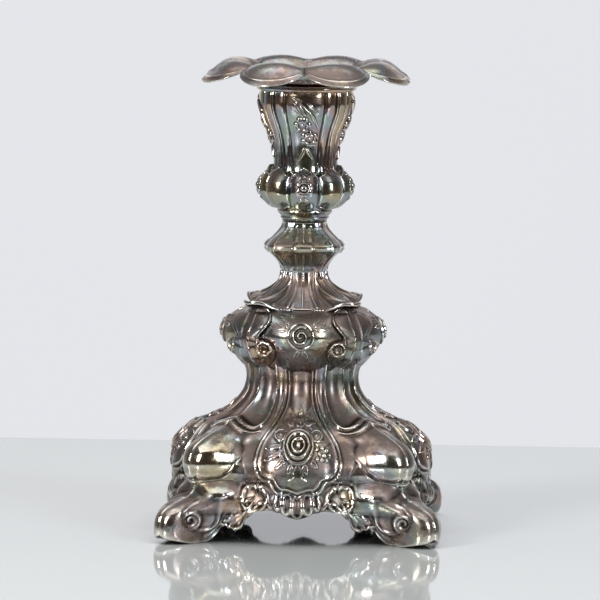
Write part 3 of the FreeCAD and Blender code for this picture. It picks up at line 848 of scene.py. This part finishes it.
def bracket(corner, quarter, material):
    """A scroll console that stands against a corner of the shoulder. Half of it is raised from the
    face in front, and the other half mirrors it across the corner."""
    rows = 150
    share, up = np.meshgrid(np.linspace(0, 1, 90), np.linspace(82.2, 115.8, rows))
    spine = through(BRACKET_SPINE, up) / math.sqrt(2)
    across = BRACKET_START + (spine - BRACKET_START) * share
    bearing = np.linspace(0, np.pi / 4, 60)
    weight = np.sin(2 * bearing) ** (2 * SHOULDER_SHARPNESS)
    face = through(SHOULDER_TABLE, up[:, 0])
    low = through(SHOULDER_TABLE, up[:, 0], 2, 3)
    edge = through(BRACKET_EDGE, up)
    skin, edge_skin = np.zeros_like(up), np.zeros_like(up)
    for row in range(rows):
        radius = face[row] + (low[row] - face[row]) * weight
        skin[row] = np.interp(across[row], radius * np.sin(bearing), radius * np.cos(bearing))
        edge_skin[row] = np.interp(edge[row], radius * np.sin(bearing), radius * np.cos(bearing))
    reach = np.clip((across - edge) / np.maximum(spine - edge, 1), 0, 1)
    front = edge_skin + 1.5
    shield = front + (spine - front) * reach ** 1.3 + 0.9 * np.sin(np.pi * reach)
    relief = Relief(across, up)
    relief.dome((21.4, 88.6), (9.4, 6.6), 1.9, sharp=0.7)
    relief.dome((17.9, 93.4), (5, 5), 0.9, sharp=0.5)
    wire = curve([(24, 113.8), (20.6, 114.4), (17.8, 113.4), (15.9, 111.2), (15.7, 108.8), (16.9, 106.2),
        (18.9, 103.6), (20.8, 101), (21.9, 98.6), (22.2, 96.4)])
    relief.stroke(wire, 0.66, 1.1, taper=(0.8, 1, 0.8), sharp=0.7)
    ring = np.vstack([spiral((18.4, 93.9), 3.9, 3.5, 30, 1.05), spiral((18.3, 93.9), 3.4, 2.9, 48, 0.5)])
    relief.crisp(ring, 0.7, 0.9)
    relief.dome((18.4, 93.9), (2.6, 2.6), 2.4, sharp=0.5, layer="cut")
    relief.crest(0.7 * np.clip(1 - ((spine - 1.7 - across) / 0.5) ** 2, 0, 1))
    inside = ease(across - edge, -0.1, 0.5) * ease(up, 82.3, 83.0)
    depth = shield + relief.rise() * (1 - ease(reach, 0.9, 1.0))
    depth = skin - 0.7 + (depth - skin + 0.7) * np.maximum(inside, ease(share, 0.97, 1.0))
    half = np.stack([across, -depth, up], 2)
    other = np.stack([depth, -across, up], 2)[:, ::-1]
    outer = np.concatenate([half, other[:, 1:]], 1)
    inner = outer.copy()
    inner[..., :2] *= (1 - 1.6 / np.hypot(outer[..., 0], outer[..., 1]))[..., None]
    turned_piece("scroll_bracket_" + corner, outer, inner, quarter, material, "bracket_" + corner)


SKIRT_TABLE = [(111.6, 21.9, 115.4, 37.2), (112.6, 21.4, 115.9, 35), (113.8, 20.4, 116.6, 31.8),
    (116.4, 18.2, 118.6, 26.2), (119.6, 15.8, 121.2, 20.6), (123, 13.6, 124, 16.4), (126.6, 12.1, 127, 13.6),
    (130, 11.5, 130, 12.6)]
SKIRT_WALL = 1.0


def skirt(material):
    grid, radius, angle, up = ring_grid(SKIRT_TABLE, 1.6, 520, 120)
    local = fold(angle)
    across = radius * np.sin(local)
    relief = Relief(across, up)
    relief.stroke([(0, 129.8), (0, 122), (0, 112.6)], 0.5, 0.5, taper=(0.6, 0.8, 1))
    for high, waist, foot in ((3.2, 4.2, 7), (5.6, 8, 14)):
        line = curve([(high, 129.9), (high * 1.05, 126), (waist, 119.6), (foot, 113.2 + 0.14 * foot)])
        relief.stroke(line, 0.9, 0.35, taper=(0.6, 1, 1.2))
        relief.groove(line + np.array([1.1, 0.45]), 1.0, 0.25)
    ridge = np.abs(np.abs(local) - np.pi / 4) * radius
    relief.crest(0.45 * np.exp(-((ridge - 0.9) / 0.5) ** 2))
    relief.stroke(curve([(6, 129.9), (6.6, 125.4), (10.6, 120.6), (17, 117.8), (24, 117)]), 0.6, 0.9)
    normal = normals_of(grid, True)
    outer = grid + normal * relief.rise()[..., None]
    inner = (grid - normal * SKIRT_WALL)[::9]
    # The wire along the rim: a bar in the middle of a face, beads, then an S-curve up to the ear
    wire_angle = np.linspace(0, 2 * np.pi, 1441)[:-1]
    wire_local = fold(wire_angle)
    weight = np.abs(np.sin(2 * wire_angle)) ** 3.2
    wire_radius = 21.9 + 15.3 * weight + 0.3
    wire_across = np.abs(wire_radius * np.sin(wire_local))
    wire_up = through([(0, 112), (5.8, 112.1), (10.8, 112.5), (14, 113.4), (17.6, 115), (21, 116), (24, 116),
        (27, 115.6)], wire_across)
    thick = np.interp(wire_across, [0, 3.8, 4.6, 5, 6, 6.6, 7.2, 7.9, 8.5, 9.2, 9.8, 10.5, 11.2, 13, 20, 27],
        [1.3, 1.25, 1, 0.5, 1, 0.6, 1, 0.6, 0.95, 0.6, 0.9, 0.6, 0.8, 0.85, 1, 1])
    line = round_points(wire_radius, wire_angle, wire_up)
    sides = np.linspace(0, 2 * np.pi, 16, endpoint=False)[:, None]
    away = np.stack([np.sin(wire_angle), -np.cos(wire_angle), 0 * wire_angle], 1)[None]
    outward = np.cos(sides)[..., None] * away + np.sin(sides)[..., None] * np.array([0, 0, 1])
    loop = line[None] + thick[None, :, None] * outward
    loop = np.concatenate([loop, loop[:1]])
    parts = [(outer, grid_faces(*outer.shape[:2], True)),
        (inner, grid_faces(*inner.shape[:2], True)[:, ::-1]), (loop, grid_faces(*loop.shape[:2], True))]
    settle(joined("stem_skirt_fluted", parts), material, "stem_skirt")


def knop(name, node, rows, material, low):
    grid, radius, angle, up = ring_grid(rows, 1.3, 360, 110)
    local = fold(angle)
    relief = Relief(radius * np.sin(local), up)
    relief.stroke([(0, 131), (0, 139.8)] if low else [(0, 153.8), (0, 145.2)], 0.5, 0.5, taper=(0.7, 1, 1))
    relief.dome((0, 142.4), (5.4, 3), 1.2, sharp=0.45)
    fluting = np.array([(3.6, 138.4), (3, 132)] if low else [(3.4, 146.6), (2.8, 152.8)])
    relief.stroke(fluting, 0.9, 0.3, taper=(1, 0.8, 0.4))
    relief.groove(fluting + np.array([1.3, 0]), 0.9, 0.25)
    ridge = np.abs(np.abs(local) - np.pi / 4) * radius
    relief.crest(0.35 * np.exp(-((ridge - 1.0) / 0.6) ** 2))
    relief.body += 0.35 * np.exp(-((up - 142.5) / 1.5) ** 2)
    raised(name, grid, relief.rise(), 1.2, material, node, back_rows=30)


LOWER_KNOP_TABLE = [(130, 11.5, 130, 12.6), (132.8, 12, 132.8, 13.6), (135.2, 13.3, 135.2, 15.6),
    (137.6, 15.2, 137.6, 18.2), (140, 17.8, 140, 21), (141.3, 18.7, 141.3, 21.9), (142.5, 18.9, 142.5, 22.1)]
UPPER_KNOP_TABLE = [(142.5, 18.9, 142.5, 22.1), (143.8, 18.5, 143.8, 21.7), (145.2, 17.4, 145.2, 20.4),
    (147.4, 15.2, 147.4, 17.8), (150.1, 12.7, 150.1, 14.6), (152.4, 11.3, 152.4, 12.6),
    (154.5, 10.8, 154.5, 11.8)]
NECK_TABLE = [(154.5, 11.1, 154.5, 11.9), (155.6, 11.1, 155.6, 11.9), (156.1, 11.3, 156.1, 12),
    (156.4, 12.1, 156.4, 12.8), (157, 12.4, 157, 13), (157.6, 12, 157.6, 12.7), (158.2, 12.2, 158.2, 12.7),
    (159.2, 12.9, 159.2, 13.2), (160.2, 14, 160.2, 14.2)]


def neck(material):
    grid, radius, angle, up = ring_grid(NECK_TABLE, 1.2, 320, 50)
    flutes = 0.35 * np.abs(np.sin(8 * angle)) ** 0.6 * (1 - ease(up, 155.8, 156.6))
    facets = 0.5 * np.abs(np.cos(4 * angle)) ** 0.6 * ease(up, 157.4, 158.6)
    raised("neck_collar", grid, flutes + facets - 0.2, 1.0, material, "neck_ring", back_rows=6)


BULB_TABLE = [(160, 13, 13.6), (161.5, 14.8, 16.6), (163.4, 16.4, 19.2), (166.6, 18.2, 22), (170.6, 19, 23.4),
    (174.6, 18.6, 23), (178.2, 17.4, 21), (181, 16.4, 18.6), (183.4, 16.2, 17)]
BULB_CORE = [(160, 13), (162.5, 14.6), (166, 16), (176, 15.2), (184.6, 15)]


def bulb_points(angle, up):
    """Eight lobes with pointed, raised tops round a plain core."""
    part = np.abs(fold(angle, 8)) / (np.pi / 8)
    valley = through(BULB_TABLE, up)
    lobe = through(BULB_TABLE, up, 0, 2)
    profile = valley + (lobe - valley) * np.clip(1 - part ** 2, 0, 1) ** 0.6
    top = 183.4 - 5.2 * part ** 0.8 + 0.5 * np.sin(np.pi * part)
    bottom = 161.2 + 2.4 * part ** 1.6
    inside = ease(top - up, -0.1, 0.7) * ease(up - bottom, -0.3, 0.6)
    core = through(BULB_CORE, up)
    radius = core + (profile - core) * inside
    radius += 0.8 * np.clip(1 - ((top - up - 0.5) / 0.6) ** 2, 0, 1) ** 0.7
    radius += 0.3 * np.clip(1 - ((up - bottom - 0.2) / 0.5) ** 2, 0, 1)
    return round_points(radius, angle, up), radius


def bulb(material):
    angle, up = np.meshgrid(np.linspace(0, 2 * np.pi, 480, endpoint=False), np.linspace(160, 184.6, 150))
    grid, radius = bulb_points(angle, up)
    raised("lobed_bulb", grid, np.zeros_like(up), 1.2, material, "socket_bulb", back_rows=30)
    angle, up = np.meshgrid(np.radians(np.linspace(-15, 15, 130)), np.linspace(163.6, 181, 150))
    grid, radius = bulb_points(angle, up)
    relief = Relief(radius * np.sin(angle), up, alike=False)
    relief.bead_ring((0, 172.8), 3.3, 30, 1.6, 0.9)
    relief.crisp(spiral((0, 172.8), 2.5, 2.5, 0, 1.0), 0.35, 1.2)
    relief.bead((0, 172.8), 1.9, 1.6)
    for root, tip in (((-1.6, 177.4), (-3.4, 178.8)), ((0, 177.6), (0.4, 180.2)),
            ((1.8, 177.4), (3.6, 178.4)), ((-1, 167.4), (-2.4, 165.2)), ((1, 167.4), (2.4, 165.2))):
        relief.leaf(root, tip, 0.8, 0.5)
    four_patches("rosette_", grid, relief, material)


VASE_TABLE = [(180.4, 15.9, 180.4, 15.9), (183.5, 15.5, 183.5, 15.5), (187, 15.4, 187, 15.5),
    (192.5, 15.9, 192.5, 16), (198.5, 17.4, 198.5, 17.6), (205.3, 20.3, 205.3, 20.5),
    (210.5, 22.2, 210.5, 22.4), (215, 23.1, 215, 23.2), (218, 23.1, 218, 23.1), (220.2, 22.8, 220.2, 22.8)]


def vase_swell(radius, angle):
    """Four convex panels, and a reed on each side of a pair of beads at each corner."""
    turn = np.degrees(np.abs(fold(angle)))
    panel = np.clip(1 - (turn / 25.5) ** 2, 0, 1) ** 0.6
    reed = np.clip(1 - ((turn - 34.0) / 8.2) ** 2, 0, 1) ** 0.6
    swell = 1.0 * panel * (turn < 25.6) + 0.9 * reed * (turn > 25.6) - 0.5
    crease = radius * np.radians(np.abs(turn - 25.8))
    swell -= 0.6 * np.clip(1 - (crease / 0.7) ** 2, 0, 1)
    ridge = radius * np.radians(45 - turn)
    return swell + 1.3 * np.clip(1 - ((ridge - 0.7) / 0.6) ** 2, 0, 1) ** 0.5


def vase(material):
    """The socket's cup, with a sprig on each panel."""
    grid, radius, angle, up = ring_grid(VASE_TABLE, 1.0, 560, 120)
    raised("socket_cup", grid, vase_swell(radius, angle), 1.9, material, "socket_vase", back_rows=40)
    angle, level = window(21, 0.06, 0.99, 150, 260)
    grid, radius, angle, up = ring_surface(VASE_TABLE, 1.0, angle, level)
    ground = grid + normals_of(grid, False) * vase_swell(radius, angle)[..., None]
    relief = Relief(radius * np.sin(angle), up, alike=False)
    relief.leaf((-1.6, 215.6), (-6.8, 218.6), 1.3, 1.2)
    relief.leaf((-5.4, 215.6), (-0.6, 207.8), 0.95, 1.2)
    relief.leaf((-4.4, 216), (0.9, 208.4), 1.05, 1.3)
    relief.stroke(curve([(-3.4, 216), (0.6, 212.4), (4.2, 208.6), (6.2, 203)]), 0.5, 1.1)
    relief.leaf((0.8, 215.6), (6.8, 210.2), 1.05, 1.3)
    relief.leaf((3, 210.4), (6, 203.6), 1.0, 1.2)
    for spot, start in (((-1.2, 204.4), 0), ((2.2, 197.4), 30)):
        relief.bead_ring(spot, 2.8, start, 1.7, 1.4)
        relief.crisp(spiral(spot, 2.3, 2.3, 0, 1.0), 0.5, 1.7)
        relief.dome(spot, (1.9, 1.9), 1.2, sharp=0.5, layer="cut")
        relief.bead(spot, 1.0, 2.2)
    relief.leaf((0, 192.8), (-3, 185.6), 1.2, 1.2)
    relief.leaf((0.6, 192.8), (4, 186.6), 1.2, 1.2)
    four_patches("sprig_", ground, relief, material)


PAN_TABLE = [(230.5, 43.2, 224.9, 54.5), (231.2, 42.4, 227.2, 52.6), (231.9, 41.2, 230.2, 49),
    (232.7, 39.6, 233.6, 45), (233.2, 37, 235.6, 41), (233, 35.4, 235.9, 38.6), (232.6, 34.2, 235.2, 36),
    (230.4, 31.4, 232.8, 32.4), (226.8, 28.4, 227.8, 29), (225.1, 25.6, 225.3, 25.8), (224.6, 22, 224.6, 22),
    (224.5, 12, 224.5, 12)]
PAN_WALL = 0.75
PAN_FLOOR = 223.75         # height of the underside round the nozzle


def pan(material):
    """The drip pan: eight drooping petals, each with a fine raised line inside its edge."""
    level = np.linspace(0, 1, 62)[:, None] ** 1.25
    (valley_up, valley, petal_up, petal), place = at_level(PAN_TABLE, level)
    angle = np.linspace(0, 2 * np.pi, 720, endpoint=False)[None, :]
    share = np.abs(np.sin(4 * angle))
    weight = share ** 0.6
    up = valley_up + (petal_up - valley_up) * weight ** 1.25
    radius = valley + (petal - valley) * weight
    grid = round_points(radius, angle, up)
    line = 2.4 + 2.0 * (1 - share) ** 2
    rise = 0.32 * np.exp(-((place - line) / 0.42) ** 2) + 0.3 * np.exp(-(place / 0.5) ** 2)
    valley_x = radius * np.abs(np.sin(fold(angle, 8)))
    rise += 0.35 * np.exp(-((np.hypot(valley_x, radius - 36.4) - 1.7) / 0.4) ** 2)
    rise += 0.25 * np.exp(-(valley_x / 0.5) ** 2) * ease(-radius, -42, -38) * ease(radius, 28, 31)
    normal = normals_of(grid, True)
    outer = grid + normal * (rise - 0.1)[..., None]
    inner = grid - normal * PAN_WALL
    inner[..., 2] = np.where(radius < 26, np.maximum(inner[..., 2], PAN_FLOOR), inner[..., 2])
    settle(sheet("petal_pan", outer, inner, True), material, "drip_pan", body="nozzle")


silver_plain = silver("silver_plain", 0.6)
silver_pan = silver("silver_pan", 0.55)
shoulder(silver_base)
for quarter, corner in enumerate(CORNERS):
    bracket(corner, quarter, silver_base)
skirt(silver_plain)
knop("knop_under", "knop_lower", LOWER_KNOP_TABLE, silver_plain, True)
knop("knop_over", "knop_upper", UPPER_KNOP_TABLE, silver_plain, False)
neck(silver_plain)
bulb(silver_plain)
vase(silver_plain)
pan(silver_pan)

INNER_PARTS = {
    "socket_rim": silver_plain,
    "nozzle_sleeve": silver_plain,
    "socket_liner": plain_metal("brass_tube", (0.42, 0.29, 0.12), (0.62, 0.46, 0.2), 0.32),
    "tie_rod": plain_metal("rod_steel", (0.3, 0.29, 0.28), (0.48, 0.47, 0.46), 0.38),
    "bottom_plate": plain_metal("plate_steel", (0.16, 0.15, 0.14), (0.3, 0.28, 0.26), 0.5),
    "felt_lining": felt("green_baize"),
}
INNER_PARTS["rod_nut"] = INNER_PARTS["rod_washer"] = INNER_PARTS["tie_rod"]
for node, material in INNER_PARTS.items():
    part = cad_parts[node]
    part.data.materials.clear()
    part.data.materials.append(material)


# ---------------------------------------------------------------- studio

def added(name, data):
    thing = bpy.data.objects.new(name, data)
    bpy.context.scene.collection.objects.link(thing)
    return thing


def area_light(name, place, size, energy, colour):
    """A rectangular light that points at the middle of the candlestick."""
    data = bpy.data.lights.new(name, "AREA")
    data.shape = "RECTANGLE"
    data.size, data.size_y = size
    data.energy = energy
    data.color = colour
    light = added(name, data)
    light.location = place
    light.rotation_euler = (Vector((0, 0, 0.1)) - Vector(place)).to_track_quat("-Z", "Y").to_euler()


def shade(colour, share):
    return tuple(share * c for c in colour)


def stage_plane(name, corners, colour, roughness, specular, glow=None):
    mesh = bpy.data.meshes.new(name)
    mesh.from_pydata(corners, [], [(0, 1, 2, 3)])
    plane = added(name, mesh)
    look = new_look(name)
    cloud = look.noise(1.3, 2, 0.5)
    tint = look.ramp(cloud, (0.3, shade(colour, 0.97)), (0.7, colour))
    # Painted shade: the glass lies on a pale board, and the AO node darkens its colour where something stands
    # close over it, as the shadow under the candlestick
    contact_shade = look.node("AmbientOcclusion", Distance=0.07)
    contact_shade.samples = 8
    unshaded_share = look.greys(contact_shade.outputs["AO"], 0.25, 0, 0.75, 1)
    look.set(Base_Color=look.mix(unshaded_share, shade(colour, 0.16), tint), Roughness=roughness,
        Specular_IOR_Level=specular)
    if glow:
        light = look.ramp(cloud, (0.3, shade(glow, 0.98)), (0.7, glow))
        look.set(Emission_Color=light, Emission_Strength=1.0)
    plane.data.materials.append(look.owner)


TABLE_BACK = 0.36
TABLE_FRONT = -0.33
stage_plane("table_top", [(-0.9, TABLE_FRONT, 0), (0.9, TABLE_FRONT, 0), (0.9, TABLE_BACK, 0),
    (-0.9, TABLE_BACK, 0)], (0.7, 0.745, 0.755), 0.05, 0.5)
stage_plane("wall", [(-1.1, 1.5, -0.4), (1.1, 1.5, -0.4), (1.1, 1.5, 1.2), (-1.1, 1.5, 1.2)],
    (0.2, 0.2, 0.21), 0.9, 0.1, glow=(0.69, 0.7, 0.735))

area_light("key_left", (-1.15, -1.35, 0.85), (0.42, 0.75), 20, (1, 0.98, 0.94))
area_light("overhead", (0, -0.2, 1.7), (2.4, 1.8), 20, (1, 0.985, 0.96))
area_light("key_right", (1.2, -1.2, 0.7), (0.3, 0.7), 12, (0.92, 0.96, 1))

world = Look(bpy.data.worlds.new("studio"), "Background")
bpy.context.scene.world = world.owner
split = world.node("SeparateXYZ", Vector=world.coordinates["Generated"])
tone = world.ramp(world.times(world.plus(split.outputs["Y"], 1.0), 0.5), (0.0, (0.05, 0.038, 0.03)),
    (0.40, (0.075, 0.06, 0.05)), (0.62, (0.13, 0.12, 0.115)), (1.0, (0.4, 0.4, 0.41)))
world.set(Color=tone, Strength=1.0)

CAMERA_DISTANCE = 3.0
CAMERA_HEIGHT = 0.405
CAMERA_TURN = 1.6          # degrees round the axis, towards +X
CAMERA_ROLL = 0.8          # degrees
CAMERA_LENS = 361.6
CAMERA_AIM = Vector((-0.0018, 0, 0.1151))
camera_data = bpy.data.cameras.new("camera")
camera_data.lens = CAMERA_LENS
camera_data.sensor_width = 36
camera_data.clip_end = 20
camera = added("camera", camera_data)
bpy.context.scene.camera = camera
turn = math.radians(CAMERA_TURN)
camera.location = (CAMERA_DISTANCE * math.sin(turn), -CAMERA_DISTANCE * math.cos(turn), CAMERA_HEIGHT)
look = (CAMERA_AIM - camera.location).to_track_quat("-Z", "Y").to_matrix()
sight = look @ Vector((0, 0, 1))
camera.rotation_mode = "QUATERNION"
camera.rotation_quaternion = Quaternion(sight, math.radians(CAMERA_ROLL)) @ look.to_quaternion()

bpy.context.scene.view_settings.view_transform = "Standard"
